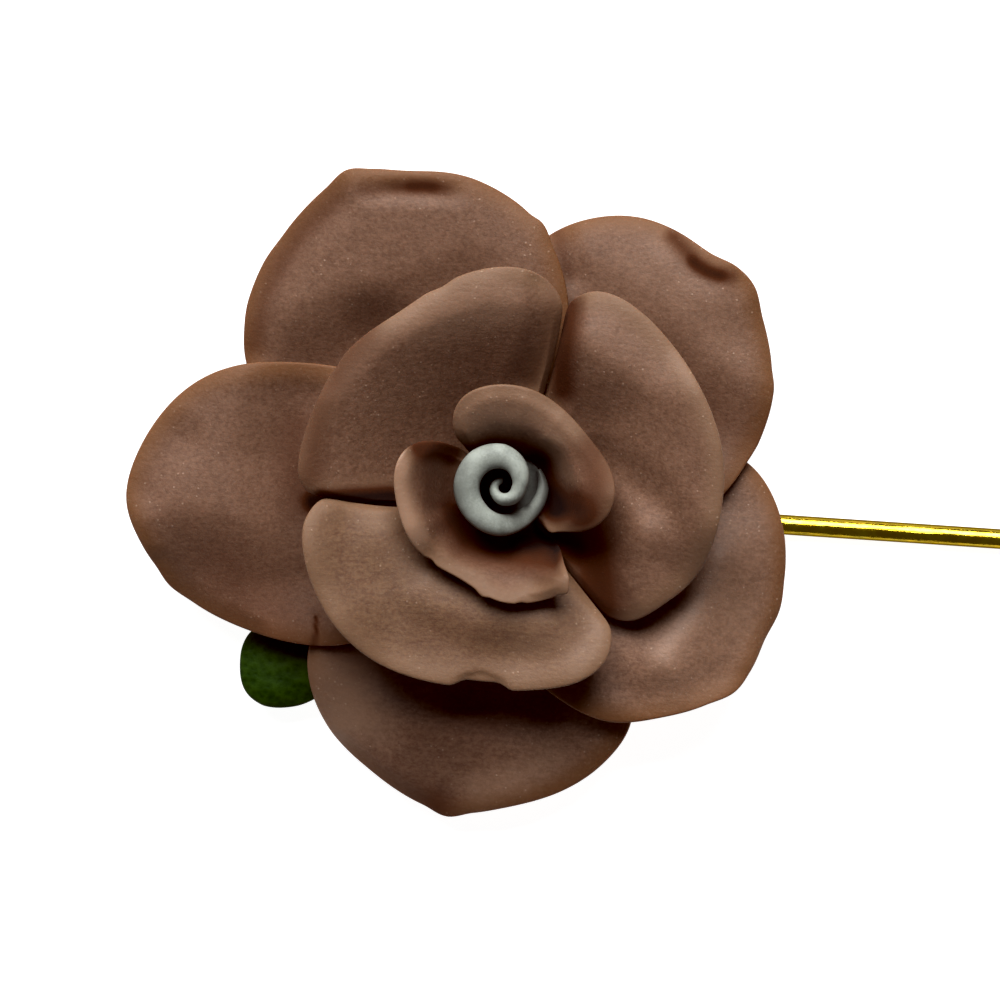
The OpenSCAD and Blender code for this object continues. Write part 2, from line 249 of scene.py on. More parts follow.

# %% [markdown]
# The recipe starts with the patterns, each at the scale of its mark. Their weighted sum picks the
# colour between dark and light clay. The painted rim, the painted shade and the painted light are
# laid over it in turn, and the grains come last, on top, fading where shade is painted. The same
# patterns raise the relief, so a pale grain also stands out a little.

# %% Clay of the petals
def petal_clay(name, line_turn, line_depth=1.0, light=CLAY_LIGHT, rim_colour=CLAY_RIM_PAINTED_TRANSLUCENCE):
    """Clay of one petal, whose finger lines run at an angle in degrees."""
    material, shader, place = new_material(name)
    rim = attribute(place, "rim")
    painted_shading = attribute(place, "painted_shading")
    patches = noise(place, 1.2)
    mottle = noise(place, 2.6, 3, 0.6)
    grit = noise(place, 6.0, 2, 0.7)
    dashes = noise(stretched(place, (3.6, 7, 7), 12 - line_turn), 1.0, 2, 0.55)
    lines = noise(stretched(place, (0.5, 5, 5), -line_turn), 1.0, 4, 0.6)
    clusters = noise(place, 0.35).between(0.42, 0.62)
    flecks = noise(place, 5.0, 4, 0.8).between(0.60, 0.74) * clusters
    chance = cells(place, GRAIN_SCALE, "Color")
    picked = chance.node("ShaderNodeSeparateColor", {}, {0: chance}) > GRAINS_LEFT_OUT
    round_grain = 1 - cells(place, GRAIN_SCALE).between(0.05, 0.2)
    grain = round_grain * picked * (0.25 + clusters * 0.75)

    furrows = 0.12 * line_depth
    tone = (patches * 0.12 + mottle * 0.23 + grit * 0.38 + dashes * 0.27
            + (lines - 0.5) * furrows)
    body = tone.between(0.33, 0.67).colours(CLAY_DARK, light)
    # Painted light and shade along the rim.
    painted_rim_band = 1 - (rim + mottle * 0.5).between(0.3, 1.75)
    with_rim_paint = (painted_rim_band * 0.82).colours(body, rim_colour)
    # Painted shade, then the painted near black of shadowed gaps, then painted light below 0.
    with_painted_shade = (painted_shading - 1).colours(painted_shading.colours(with_rim_paint, CLAY_PAINTED_SHADE), CLAY_PAINTED_GAP_SHADE)
    with_painted_light = (painted_shading * -1).colours(with_painted_shade, CLAY_PAINTED_LIGHT)
    specks = (grain * 0.42 + flecks * 0.42) * (1 - painted_shading)
    join(specks.colours(with_painted_light, CLAY_GRAIN), shader, "Base Color")
    join(0.54 + mottle * 0.16 - grain * 0.1 + painted_shading * 0.3, shader, "Roughness")
    relief = (mottle * 0.4 + grit * 0.35 + dashes * 0.3 + lines * furrows
              + grain * 0.3 + flecks * 0.2)
    join(bumps(relief, PETAL_RELIEF), shader, "Normal")
    set_all_over(shader, PETAL_FINISH)
    return material


print("petal clay ready")

# %% [markdown]
# The bud is rolled from a strip of grey-white clay, smoother than the petals. The leaf is the
# same clay in a deep green, stippled with a tool. Both are mixed from noise as well, at the scale
# of their own marks. The leaf has almost no shine, because light that grazes a stippled face is
# scattered.

# %% Clay of the bud and the leaf
BUD_DARK = (0.215, 0.230, 0.205, 1)
BUD_LIGHT = (0.320, 0.340, 0.305, 1)
# Painted shade of the bud.
BUD_PAINTED_SHADE = (0.045, 0.045, 0.04, 1)
BUD_RELIEF = 0.035
BUD_FINISH = {
    "Specular IOR Level": 0.35,
    "Subsurface Weight": 0.15,
    "Subsurface Radius": (1.0, 0.9, 0.7),
    "Subsurface Scale": 0.3 * MM,
}
LEAF_DARK = (0.006, 0.026, 0.001, 1)
LEAF_LIGHT = (0.025, 0.058, 0.005, 1)
LEAF_RELIEF = 0.07
LEAF_FINISH = {"Specular IOR Level": 0.12}


def bud_clay():
    """Grey-white clay, which painted shade from an attribute darkens, as on the petals."""
    material, shader, place = new_material("bud_clay")
    cloud = noise(place, 0.9, 3)
    fine = noise(place, 8, 3, 0.6)
    tone = cloud * 0.7 + fine * 0.3
    body = tone.between(0.35, 0.65).colours(BUD_DARK, BUD_LIGHT)
    join(attribute(place, "painted_shading").colours(body, BUD_PAINTED_SHADE), shader, "Base Color")
    join(0.52 + fine * 0.16, shader, "Roughness")
    join(bumps(cloud * 0.6 + fine * 0.4, BUD_RELIEF), shader, "Normal")
    set_all_over(shader, BUD_FINISH)
    return material


def leaf_clay():
    """Green clay with a stippled face."""
    material, shader, place = new_material("leaf_clay")
    cloud = noise(place, 1.2, 3)
    stipples = cells(place, 3.2, feature="SMOOTH_F1")
    fine = noise(place, 9, 3, 0.7)
    tone = cloud * 0.4 + stipples * 0.4 + fine * 0.3
    join(tone.between(0.3, 0.75).colours(LEAF_DARK, LEAF_LIGHT), shader, "Base Color")
    join(0.5 + fine * 0.2, shader, "Roughness")
    join(bumps(stipples * 0.7 + fine * 0.3, LEAF_RELIEF), shader, "Normal")
    set_all_over(shader, LEAF_FINISH)
    return material


print("bud and leaf clay ready")

# %% [markdown]
# The pin is brass wire with a thin layer of gold. Drawing leaves fine scratches along the wire,
# and handling leaves small dull places. Both are far smaller than the wire, so they are bumps and
# changes in roughness, and not shapes. Along its two flanks the gold is painted dark, a painted
# reflection of the dark surroundings. The distance across the wire picks the flanks out, and the
# one along it starts this painted reflection beyond the pad and fades it out between 28 and 38 mm.

# %% Gilt metal
GOLD_DARK = (0.74, 0.50, 0.04, 1)
GOLD_LIGHT = (0.88, 0.68, 0.07, 1)
# Painted dark reflection along the wire's flanks.
GOLD_PAINTED_FLANK_SHADE = (0.13, 0.10, 0.035, 1)
GOLD_RELIEF = 0.025
GOLD_FINISH = {"Metallic": 1.0, "Specular Tint": (0.35, 0.28, 0.12, 1)}
WIRE_FLANK = (0.36, 0.5)
WIRE_START = 4.5
FLANK_SHADE_END = (28, 38)


def gilt_metal():
    """Gold plate with scratches along the wire and a painted dark reflection on its flanks."""
    material, shader, place = new_material("gilt_metal")
    scratches = noise(stretched(place, (0.5, 9, 9)), 1.0, 3, 0.6)
    wear = noise(place, 1.6, 4, 0.6)
    across = place.node("ShaderNodeSeparateXYZ", {}, {0: place}, "Y").math("ABSOLUTE")
    along = place.node("ShaderNodeSeparateXYZ", {}, {0: place}, "X")
    flanks = (across + wear * 0.12).between(*WIRE_FLANK)
    # Painted dark reflection on the flanks, beyond the pad.
    painted_flank_shade = flanks * (along > WIRE_START) * (1 - along.between(*FLANK_SHADE_END))
    gold = wear.between(0.35, 0.7).colours(GOLD_DARK, GOLD_LIGHT)
    join((painted_flank_shade * 0.85).colours(gold, GOLD_PAINTED_FLANK_SHADE), shader, "Base Color")
    join(0.08 + wear * 0.1 + scratches * 0.08, shader, "Roughness")
    join(bumps(scratches * 0.6 + wear * 0.6, GOLD_RELIEF), shader, "Normal")
    set_all_over(shader, GOLD_FINISH)
    return material


print("gilt metal ready")

# %% [markdown]
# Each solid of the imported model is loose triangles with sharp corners. A copy of it is joined up,
# its triangles are paired into squares, and Subdivision Surface rounds the whole. That smoothing
# pulls every edge inwards, so the rim is creased a little and moved out before, and the whole
# petal is made a little larger. The rim's points are marked first, with an attribute that
# survives the smoothing. Last, a cloud texture moves the faces by a few hundredths of a
# millimetre, since no hand makes a smooth sheet.

# %% Soft copies of the solids
ROUNDING_LEVELS = 3
SHARP = math.radians(55)
RIM_PULL = 0.07 * MM
RIM_CRISPNESS = 0.35
RIM_MARK = 0.99
UNEVEN_SIZE = 2.6 * MM
UNEVEN_DEPTH = 0.022 * MM
GROWTH = 0.16

uneven = bpy.data.textures.new("uneven", "CLOUDS")
uneven.noise_scale = UNEVEN_SIZE
uneven.noise_depth = 1


def only(piece):
    """Makes a piece the only selected object, and the active one."""
    bpy.ops.object.select_all(action="DESELECT")
    piece.select_set(True)
    bpy.context.view_layer.objects.active = piece


def copy_solid(node, name):
    """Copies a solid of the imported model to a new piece, and selects it alone."""
    piece = bpy.data.objects.new(name, nodes[node].data.copy())
    bpy.context.scene.collection.objects.link(piece)
    only(piece)
    bpy.ops.mesh.customdata_custom_splitnormals_clear()
    return piece


def finish_modifier(piece, kind, **settings):
    """Adds a modifier with its settings and applies it."""
    modifier = piece.modifiers.new(kind.lower(), kind)
    for name, value in settings.items():
        setattr(modifier, name, value)
    only(piece)
    bpy.ops.object.modifier_apply(modifier=modifier.name)


def soft_copy(node, growth=GROWTH, unevenness=UNEVEN_DEPTH):
    """Copies a solid, grows it by so many millimetres all round, rounds it and dents it."""
    piece = copy_solid(node, "clay_" + node)
    # An attribute for painted shade and painted light.
    piece.data.attributes.new("painted_shading", "FLOAT", "POINT")
    piece.data.attributes.new("rim", "FLOAT", "POINT")
    piece.data.attributes.active = piece.data.attributes["rim"]
    bpy.ops.object.mode_set(mode="EDIT")
    bpy.ops.mesh.select_mode(type="EDGE")
    bpy.ops.mesh.select_all(action="SELECT")
    bpy.ops.mesh.remove_doubles(threshold=MM / 1000)
    bpy.ops.mesh.tris_convert_to_quads(face_threshold=math.pi, shape_threshold=math.pi)
    bpy.ops.mesh.select_all(action="DESELECT")
    bpy.ops.mesh.edges_select_sharp(sharpness=SHARP)
    bpy.ops.mesh.attribute_set(value_float=1.0)
    bpy.ops.transform.edge_crease(value=RIM_CRISPNESS)
    bpy.ops.transform.shrink_fatten(value=RIM_PULL)
    low, high = (Vector(corner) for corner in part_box(node))
    width = (high.x - low.x + high.y - low.y) / 2
    larger = 1 + 2 * growth * MM / width
    bpy.ops.mesh.select_all(action="SELECT")
    bpy.ops.transform.resize(value=(larger, larger, 1), center_override=(low + high) / 2)
    bpy.ops.object.mode_set(mode="OBJECT")
    finish_modifier(piece, "SUBSURF", levels=ROUNDING_LEVELS, render_levels=ROUNDING_LEVELS)
    finish_modifier(piece, "DISPLACE", texture=uneven, texture_coords="LOCAL",
                    strength=unevenness, mid_level=0.5)
    bpy.ops.object.shade_smooth()
    return piece


print("soft copies ready")

# %% [markdown]
# The rim's marks turn into distances: a search tree finds the nearest rim point of each point of
# the petal. Then a piece is dressed. It gets its material, rides on the part's one body, and
# stands in for its solid.

# %% Measuring the rim and dressing a piece
def measure_rim(piece):
    """Stores at each point of a petal how far it is from the rim, in millimetres."""
    rim = piece.data.attributes["rim"].data
    marked = [v.co for v, mark in zip(piece.data.vertices, rim) if mark.value > RIM_MARK]
    tree = KDTree(len(marked))
    for i, place in enumerate(marked):
        tree.insert(place, i)
    tree.balance()
    for v, mark in zip(piece.data.vertices, rim):
        mark.value = tree.find(v.co)[2] / MM


def dress(piece, node, material):
    """Gives a piece its material and puts it in its solid's stead."""
    piece.data.materials.clear()
    piece.data.materials.append(material)
    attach(piece, "root")
    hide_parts(node)
    print(piece.name, len(piece.data.polygons), "faces")


def finish_petal(piece, node, line_turn, **looks):
    """Measures a petal's rim and dresses it in clay of its own, with the looks it is given."""
    measure_rim(piece)
    dress(piece, node, petal_clay("clay_of_" + node, line_turn, **looks))


print("dressing ready")

# %% [markdown]
# Fingers leave dents, folds and lips. A sculptor's brush would make them in a window, and
# proportional editing moves what lies near the chosen points. Both depend on which points happen
# to lie near, so here the distance of every point to a path is measured, turned into the weights
# of a vertex group, and a Displace modifier moves the clay by those weights. The clay beside the
# path follows and fades out. Painted shade and painted light go into the colour in the same way.
# A place on the flower is given as on a dial: a direction in degrees, and a distance from the
# middle of the flower in millimetres.

# %% Pressing the clay
FLOWER_MIDDLE = Vector((0, 0.8 * MM, 0))
SHORTEST_RUN = 1e-6
FAINTEST_PRESS = 0.001


def spot(direction, distance):
    """The point at a direction and a distance from the middle of the flower."""
    turn = math.radians(direction)
    return FLOWER_MIDDLE + Vector((math.cos(turn), math.sin(turn), 0)) * distance * MM


def distance_to(piece, path):
    """How far each point of a piece is from a path, seen from above, in millimetres."""
    places = np.empty(len(piece.data.vertices) * 3, np.float32)
    piece.data.vertices.foreach_get("co", places)
    flat = places.reshape(-1, 3)[:, :2] / MM
    line = [np.array(spot(*point)[:2]) / MM for point in path]
    nearest = np.full(len(flat), np.inf)
    for start, end in zip(line, line[1:] if len(line) > 1 else line):
        run = end - start
        share = np.clip((flat - start) @ run / max(run @ run, SHORTEST_RUN), 0, 1)
        nearest = np.minimum(nearest, np.linalg.norm(flat - start - share[:, None] * run, axis=1))
    return nearest


def paint_light_and_shade(piece, path, width, amount):
    """Paints shade into the clay along a path, or paints light where the amount is below 0."""
    painted_shading = np.empty(len(piece.data.vertices), np.float32)
    piece.data.attributes["painted_shading"].data.foreach_get("value", painted_shading)
    near = np.clip(1 - distance_to(piece, path) / width, 0, 1)
    painted_shading += amount * near * near * (3 - 2 * near)
    piece.data.attributes["painted_shading"].data.foreach_set("value", painted_shading)


def press(piece, path, width, up=0.0, out=0.0, core=0.0, sharp=False, painted_shade=0.0):
    """Moves clay along a path up or outwards, fading over a width, and may paint shade there."""
    near = np.clip(1 - (distance_to(piece, path) - core) / width, 0, 1)
    weights = near * near if sharp else near * near * (3 - 2 * near)
    group = piece.vertex_groups.new(name="pressed")
    for i in np.flatnonzero(weights > FAINTEST_PRESS):
        group.add([int(i)], float(weights[i]), "REPLACE")
    outwards = (spot(*path[len(path) // 2]) - FLOWER_MIDDLE).normalized() * out * MM
    for direction, amount in zip("XYZ", (outwards.x, outwards.y, up * MM)):
        if amount:
            finish_modifier(piece, "DISPLACE", direction=direction, vertex_group="pressed",
                            strength=amount, mid_level=0)
    piece.vertex_groups.clear()
    # Painted shade along the pressed path.
    if painted_shade:
        paint_light_and_shade(piece, path, width / 2, painted_shade)


print("pressing ready")

# %% [markdown]
# The five outer petals are the largest and the flattest. Each starts as a soft copy of its solid
# and then gets its own marks. The left one is hollowed where the middle petals sit on it, so a
# broad press lowers that part. Its lower rim is thin and cracked beside the leaf. The crack is a
# narrow, sharp press that is also darkened with painted shade. Cutting it out would leave a hole,
# which the real crack is not. Painted shade darkens the hollow and the lower part of the petal,
# and the painted near black of a shadowed gap marks the seam between two middle petals above it.

# %% Left outer petal
outer_left = soft_copy("outer_petal_1", growth=0.12)
press(outer_left, [(160, 11.0), (175, 10.8), (190, 10.2), (205, 10.8)], 3.6, up=-1.0, painted_shade=0.12)
press(outer_left, [(175, 16.4), (178, 17.1), (183, 17.9)], 1.8, up=-0.3, painted_shade=0.1)
press(outer_left, [(196, 17.6), (203, 16.7), (208, 15.7), (214, 14.4)], 1.1, up=-0.2)
press(outer_left, [(203, 16.0), (210, 14.2), (217, 12.6)], 4.8, up=-1.3)
press(outer_left, [(218, 11.3), (221, 11.7), (224, 12.3)], 0.34, up=-0.2, sharp=True, painted_shade=1.0)
press(outer_left, [(200, 17.3)], 1.4, out=0.15)
paint_light_and_shade(outer_left, [(203, 14.5), (212, 12.4), (222, 12.2)], 3.5, 0.22)
paint_light_and_shade(outer_left, [(185, 12.5), (178, 14.5)], 5.0, 0.08)
paint_light_and_shade(outer_left, [(160, 11.0), (173, 10.6), (188, 10.0)], 2.4, 0.15)
paint_light_and_shade(outer_left, [(168, 10.7), (178, 10.4), (186, 10.0)], 1.8, 0.3)
paint_light_and_shade(outer_left, [(187.5, 5.5), (187.5, 9.4)], 0.9, 2.0)
paint_light_and_shade(outer_left, [(184, 17.6), (190, 16.8)], 2.0, 0.12)
paint_light_and_shade(outer_left, [(222, 12.6), (210, 14.6), (200, 15.4)], 3.4, 0.12)
paint_light_and_shade(outer_left, [(212, 13.0), (203, 13.8), (196, 14.6)], 3.0, 0.2)
finish_petal(outer_left, "outer_petal_1", 5)

# %% [markdown]
# The top petal was crimped at its rim: a groove runs under a narrow lip. Extruding an edge could
# cut it cleanly, but two soft presses, one inside the other, give the uneven depth that a
# fingernail leaves. Painted shade darkens the groove's deepest part, the left rim and the hollow
# under the middle petals. A long shallow press down the left side turns that rim up.

# %% Top outer petal
outer_top = soft_copy("outer_petal_2", growth=0.12)
press(outer_top, [(156, 11.4), (150, 10.2), (142, 9.6)], 4.4, up=-1.3)
press(outer_top, [(130, 10.0), (103, 10.0)], 2.6, up=-0.4)
press(outer_top, [(124, 16.5), (132, 16.2), (138, 15.8), (146, 15.1), (154, 14.4)], 1.5,
      up=-0.22, painted_shade=0.2)
press(outer_top, [(118, 16.2), (113, 15.75), (108, 15.3), (103, 14.95)], 1.0, up=-0.15)
press(outer_top, [(115, 15.9), (112, 15.7), (107, 15.25)], 0.8, up=-0.1)
press(outer_top, [(120, 17.9)], 1.4, out=0.2)
paint_light_and_shade(outer_top, [(119, 16.5), (113, 15.95), (109, 15.65), (104, 15.2)], 0.65, 0.4)
paint_light_and_shade(outer_top, [(113, 15.95), (109, 15.65), (105, 15.3)], 0.6, 0.4)
paint_light_and_shade(outer_top, [(110.5, 15.75), (107, 15.45)], 0.6, 0.45)
press(outer_top, [(141, 16.7), (147, 16.0)], 2.0, out=0.12)
press(outer_top, [(84, 13.3)], 1.2, out=0.3)
paint_light_and_shade(outer_top, [(124, 16.9), (132, 16.4), (138, 16.0), (146, 15.3), (154, 14.6)], 1.4, 0.3)
paint_light_and_shade(outer_top, [(152, 11.4), (142, 10.6), (130, 10.2)], 2.2, 0.16)
finish_petal(outer_top, "outer_petal_2", 115)

# %% [markdown]
# The upper right petal has a slanting groove near its tip, and its lower half leans down under
# its neighbour. The bend between the halves is one wide press along a slanting path, so it stays
# a gentle slope and not a crease.

# %% Upper right outer petal
outer_upper_right = soft_copy("outer_petal_3")
press(outer_upper_right, [(83, 13.5), (80, 12.3), (77, 11.3)], 1.4, up=-0.3, painted_shade=0.5)
press(outer_upper_right, [(70, 10.2), (55, 10.0), (45, 10.3)], 2.6, up=-0.3)
press(outer_upper_right, [(39.7, 7.8), (24.1, 9.5), (13.7, 11.7)], 4.0, up=-1.2)
press(outer_upper_right, [(62, 15.2), (57, 14.9), (53, 14.7), (49, 15.0), (46, 15.6)], 1.5,
      up=-0.18)
# Painted shade in the groove and along the bend, and painted light on the upper half.
paint_light_and_shade(outer_upper_right, [(60, 15.2), (56, 14.95), (53, 14.75), (49, 15.05), (47, 15.5)], 0.7, 0.8)
paint_light_and_shade(outer_upper_right, [(54, 14.8), (51, 14.85), (48.5, 15.2)], 0.6, 0.7)
paint_light_and_shade(outer_upper_right, [(30, 10.0), (20, 12.0), (14, 13.6)], 2.5, 0.25)
press(outer_upper_right, [(42, 16.2)], 1.5, out=0.15)
press(outer_upper_right, [(14, 13.0), (23, 14.4)], 1.5, out=0.18)
paint_light_and_shade(outer_upper_right, [(62, 13.2), (48, 13.3), (34, 13.6)], 2.2, -0.12)
finish_petal(outer_upper_right, "outer_petal_3", 60)

# %% [markdown]
# The right petal is lifted where it carries the middle one, so only a narrow shadow is left
# between them, and its rim is pressed down all round. Two nudges outwards give its edge the
# corners that a fingertip made. Its mottling and the bottom petal's show more, so both get deeper
# finger lines and a lighter light colour, which also paints light into these two petals in shade.
# Painted light makes its middle paler and painted shade darkens its rim.

# %% Right outer petal
outer_right = soft_copy("outer_petal_4", growth=0.17)
press(outer_right, [(10, 11.4), (6, 12.8), (7, 14.6)], 3.0, up=-0.3)
press(outer_right, [(345, 11.2), (330, 11.4), (318, 11.6)], 3.0, up=0.7)
press(outer_right, [(3, 15.6), (353, 16.2), (343, 16.4), (334, 16.3)], 1.5, up=-0.4)
press(outer_right, [(308, 12.4), (314, 13.4), (323, 14.4)], 1.6, up=-0.15)
press(outer_right, [(309, 14.3), (315, 15.3), (321, 16.0)], 2.0, up=0.25)
press(outer_right, [(322, 15.4)], 1.5, out=0.15)
press(outer_right, [(340, 15.2)], 1.8, out=0.15)
paint_light_and_shade(outer_right, [(318, 13.2), (335, 13.4)], 3.0, -0.2)
paint_light_and_shade(outer_right, [(352, 11.8), (338, 12.2)], 3.0, -0.2)
paint_light_and_shade(outer_right, [(345, 10.8), (330, 11.2), (318, 11.4)], 1.3, -0.3)
paint_light_and_shade(outer_right, [(5, 14.4), (352, 15.2), (338, 15.2)], 1.2, 0.12)
finish_petal(outer_right, "outer_petal_4", -40, line_depth=DEEP_LINES, light=CLAY_PAINTED_LIGHTER)

# %% [markdown]
# The bottom petal hangs towards its pointed tip. One very wide press lowers its whole outer half,
# which turns it away from the light, so it is the darkest petal of the rose. Painted shade deepens
# its hollow and its tip and draws the thin shadow under the left petal's rim, and painted light
# makes the places beside them paler.

# %% Bottom outer petal
outer_bottom = soft_copy("outer_petal_5", growth=0.28)
press(outer_bottom, [(240, 10.4), (262, 10.2), (280, 10.2)], 3.0, up=-0.5)
press(outer_bottom, [(267, 11.6), (266, 13.2), (264, 14.8), (263, 16.2)], 3.4, up=-0.45)
press(outer_bottom, [(241, 15.3), (250, 15.7), (258, 16.3)], 0.9, up=-0.2)
press(outer_bottom, [(238, 16.5), (250, 17.2), (262, 17.8), (275, 16.8), (284, 15.8)], 6.5,
      up=-1.75)
press(outer_bottom, [(264, 16.8)], 1.4, out=0.25)
paint_light_and_shade(outer_bottom, [(269, 15.0), (277, 14.4), (284, 13.6)], 1.5, -0.35)
paint_light_and_shade(outer_bottom, [(244, 14.8), (254, 15.6), (262, 16.0)], 1.4, 0.3)
paint_light_and_shade(outer_bottom, [(233, 12.2), (240, 13.6)], 3.4, -0.65)
paint_light_and_shade(outer_bottom, [(222.2, 12.3), (229.4, 10.7)], 0.45, 1.3)
paint_light_and_shade(outer_bottom, [(256, 13.2), (268, 12.2)], 2.6, 0.2)
paint_light_and_shade(outer_bottom, [(262, 16.4)], 2.2, 0.5)
paint_light_and_shade(outer_bottom, [(262, 10.8), (273, 11.2), (285, 10.8)], 1.8, 0.4)
finish_petal(outer_bottom, "outer_petal_5", 80, line_depth=DEEP_LINES, light=CLAY_PAINTED_LIGHTER)

# %% [markdown]
# The three middle petals are cupped, and stand side by side round the middle. Their rims are
# painted paler, a painted highlight on the crest, and their finger lines are deeper. The left one
# is turned down along its rim and where it meets the right one. Two small nudges inwards notch its
# edge. Painted shade darkens its right end and its left side, the painted near black of a
# shadowed gap marks its seam with the lower petal, and painted light makes its upper part paler.

# %% Left middle petal
middle_left = soft_copy("middle_petal_1", growth=0.12)
press(middle_left, [(165, 4.2), (140, 4.0), (115, 4.2)], 5.0, up=-0.3)
press(middle_left, [(150, 10.6), (135, 10.6), (115, 10.6), (98, 10.9), (85, 10.6)], 1.8, up=-0.45)
press(middle_left, [(80, 10.4), (77, 8.4), (77, 7.0), (79, 5.6)], 1.6, up=-0.5, painted_shade=0.4)
press(middle_left, [(111, 11.0)], 1.0, out=-0.2)
press(middle_left, [(147, 10.9)], 1.0, out=-0.2)
paint_light_and_shade(middle_left, [(95, 6.5), (85, 7.0)], 2.2, 0.12)
paint_light_and_shade(middle_left, [(180, 9.6), (160, 10.0), (146, 10.1), (135, 10.3)], 1.5, 0.65)
paint_light_and_shade(middle_left, [(118, 9.2), (95, 9.2)], 2.0, -0.45)
paint_light_and_shade(middle_left, [(187.5, 5.6), (187.5, 7.6), (187.5, 8.8)], 0.9, 2.2)
finish_petal(
    middle_left, "middle_petal_1", 60, line_depth=DEEP_LINES, rim_colour=CLAY_RIM_PAINTED_HIGHLIGHT)

# %% [markdown]
# The right middle petal is the tallest. Its left side is folded down sharply, which leaves a
# crest and a wall beside the left petal, and painted shade darkens the wall. A press with a core
# moves the wall evenly and fades only at its sides. Lower down, a shallow valley and a bump run
# across it, and its tip is pressed well down. So is its hidden inner end, which makes room for
# the petals round the bud. Painted shade also darkens its lower left part and its inner end, and
# painted light makes its upper rim paler.

# %% Right middle petal
middle_right = soft_copy("middle_petal_2")
press(middle_right, [(78, 9.6), (76.5, 7.9), (75, 6.7), (69, 5.2)], 1.3, up=-0.5, core=0.3)
press(middle_right, [(60, 2.5), (20, 2.3), (340, 2.5), (320, 2.9)], 1.3, up=-0.7)
press(middle_right, [(64, 8.0), (55, 7.6)], 3.0, up=0.4)
press(middle_right, [(71, 10.6), (60, 10.8), (45, 11.0)], 3.0, up=-0.7)
press(middle_right, [(22, 4.9), (12, 5.9), (2, 7.2), (354, 8.4)], 1.6, up=-0.3)
press(middle_right, [(342, 6.2), (348, 7.2)], 1.8, up=0.2)
press(middle_right, [(338, 4.6), (324, 6.2), (314, 8.2)], 2.6, up=-0.6)
press(middle_right, [(335, 10.4), (322, 10.2), (312, 9.4)], 4.0, up=-1.6)
paint_light_and_shade(middle_right, [(74, 9.6), (71.5, 8.0), (69, 6.9), (63, 5.8)], 1.3, 1.1)
paint_light_and_shade(middle_right, [(345, 4.2), (330, 5.4), (320, 6.4), (314, 7.4)], 2.2, 1.25)
paint_light_and_shade(middle_right, [(60, 9.8), (40, 10.0)], 2.4, -0.12)
paint_light_and_shade(middle_right, [(340, 3.2), (328, 3.6), (322, 4.4)], 1.2, 0.9)
finish_petal(
    middle_right, "middle_petal_2", 95, line_depth=DEEP_LINES, rim_colour=CLAY_RIM_PAINTED_HIGHLIGHT)

# %% [markdown]
# The lower middle petal is flatter than the other two and catches most light, and its clay is a
# little yellower. A press upwards flattens its cup, and another lowers its hidden inner end, to
# leave room for the inner petals. The chip in its rim is a press inwards. It is wider than it is
# deep, because points that are moved further than the press is wide would fold over each other.

# %% Lower middle petal
middle_low = soft_copy("middle_petal_3")
press(middle_low, [(205, 5.2), (235, 5.0), (265, 5.2), (292, 5.8)], 3.2, up=1.1)
press(middle_low, [(215, 10.2), (240, 10.0), (262, 9.6), (285, 9.6), (300, 9.4)], 3.0, up=-0.3)
press(middle_low, [(240, 10.0), (262, 9.6), (278, 9.6)], 3.4, up=-0.7)
press(middle_low, [(264, 10.0), (267, 9.8), (271, 10.0)], 0.95, up=-0.2, out=-0.4, core=0.1)
press(middle_low, [(205, 3.0), (235, 2.9), (265, 2.9), (292, 3.1)], 2.0, up=-1.1)
# Painted shade in the middle of its cup, and painted light at its right end and beside the lower
# inner petal.
paint_light_and_shade(middle_low, [(248, 7.6), (262, 7.4)], 2.5, 0.22)
paint_light_and_shade(middle_low, [(284, 8.2), (303, 8.0)], 2.0, -0.3)
paint_light_and_shade(middle_low, [(212, 5.9), (225, 5.9), (240, 6.1)], 1.5, -0.28)
finish_petal(
    middle_low, "middle_petal_3", 5, line_depth=DEEP_LINES, light=CLAY_YELLOWED,
    rim_colour=CLAY_RIM_PAINTED_HIGHLIGHT)

# %% [markdown]
# The two inner petals stand round the bud, and their faces are more uneven than the others. The
# upper one is a bean that bends round the bud. Close to it, the petal drops into the dark, so it
# is pressed down there and painted with shade past 1, where the colour goes on to the painted
# near black of a shadowed gap. Painted light makes the upper part of its face paler.

# %% Upper inner petal
INNER_UNEVENNESS = 0.05 * MM

inner_high = soft_copy("inner_petal_1", unevenness=INNER_UNEVENNESS)
press(inner_high, [(140, 2.5), (100, 2.3), (60, 2.4), (20, 2.6), (345, 2.9)], 1.1, up=-0.3)
press(inner_high, [(130, 5.0), (105, 5.2), (80, 5.2), (55, 5.3), (25, 5.3)], 2.4, up=-0.9)
paint_light_and_shade(inner_high, [(125, 4.2), (100, 4.0), (72, 4.0), (50, 3.9)], 1.5, -0.55)
paint_light_and_shade(inner_high, [(70, 5.2), (45, 5.4)], 0.9, 0.15)
press(inner_high, [(30, 2.3), (0, 2.4), (340, 2.8)], 1.6, up=-1.0)
paint_light_and_shade(inner_high, [(140, 2.6), (110, 2.3), (70, 2.2), (40, 2.2)], 0.9, 1.2)
paint_light_and_shade(inner_high, [(40, 2.1), (20, 2.1), (0, 2.3), (342, 2.7)], 1.0, 1.9)
paint_light_and_shade(inner_high, [(28, 4.8), (10, 4.7), (352, 4.4)], 1.9, 0.7)
paint_light_and_shade(inner_high, [(50, 3.3), (30, 3.3), (12, 3.4)], 0.8, -0.6)
paint_light_and_shade(inner_high, [(353, 3.2), (346, 3.9)], 1.4, 0.9)
paint_light_and_shade(inner_high, [(75, 5.3), (55, 5.6), (40, 5.6)], 0.8, 0.2)
paint_light_and_shade(inner_high, [(60, 4.0), (45, 3.9)], 1.0, 0.1)
finish_petal(inner_high, "inner_petal_1", -40, rim_colour=CLAY_RIM_PAINTED_HIGHLIGHT)

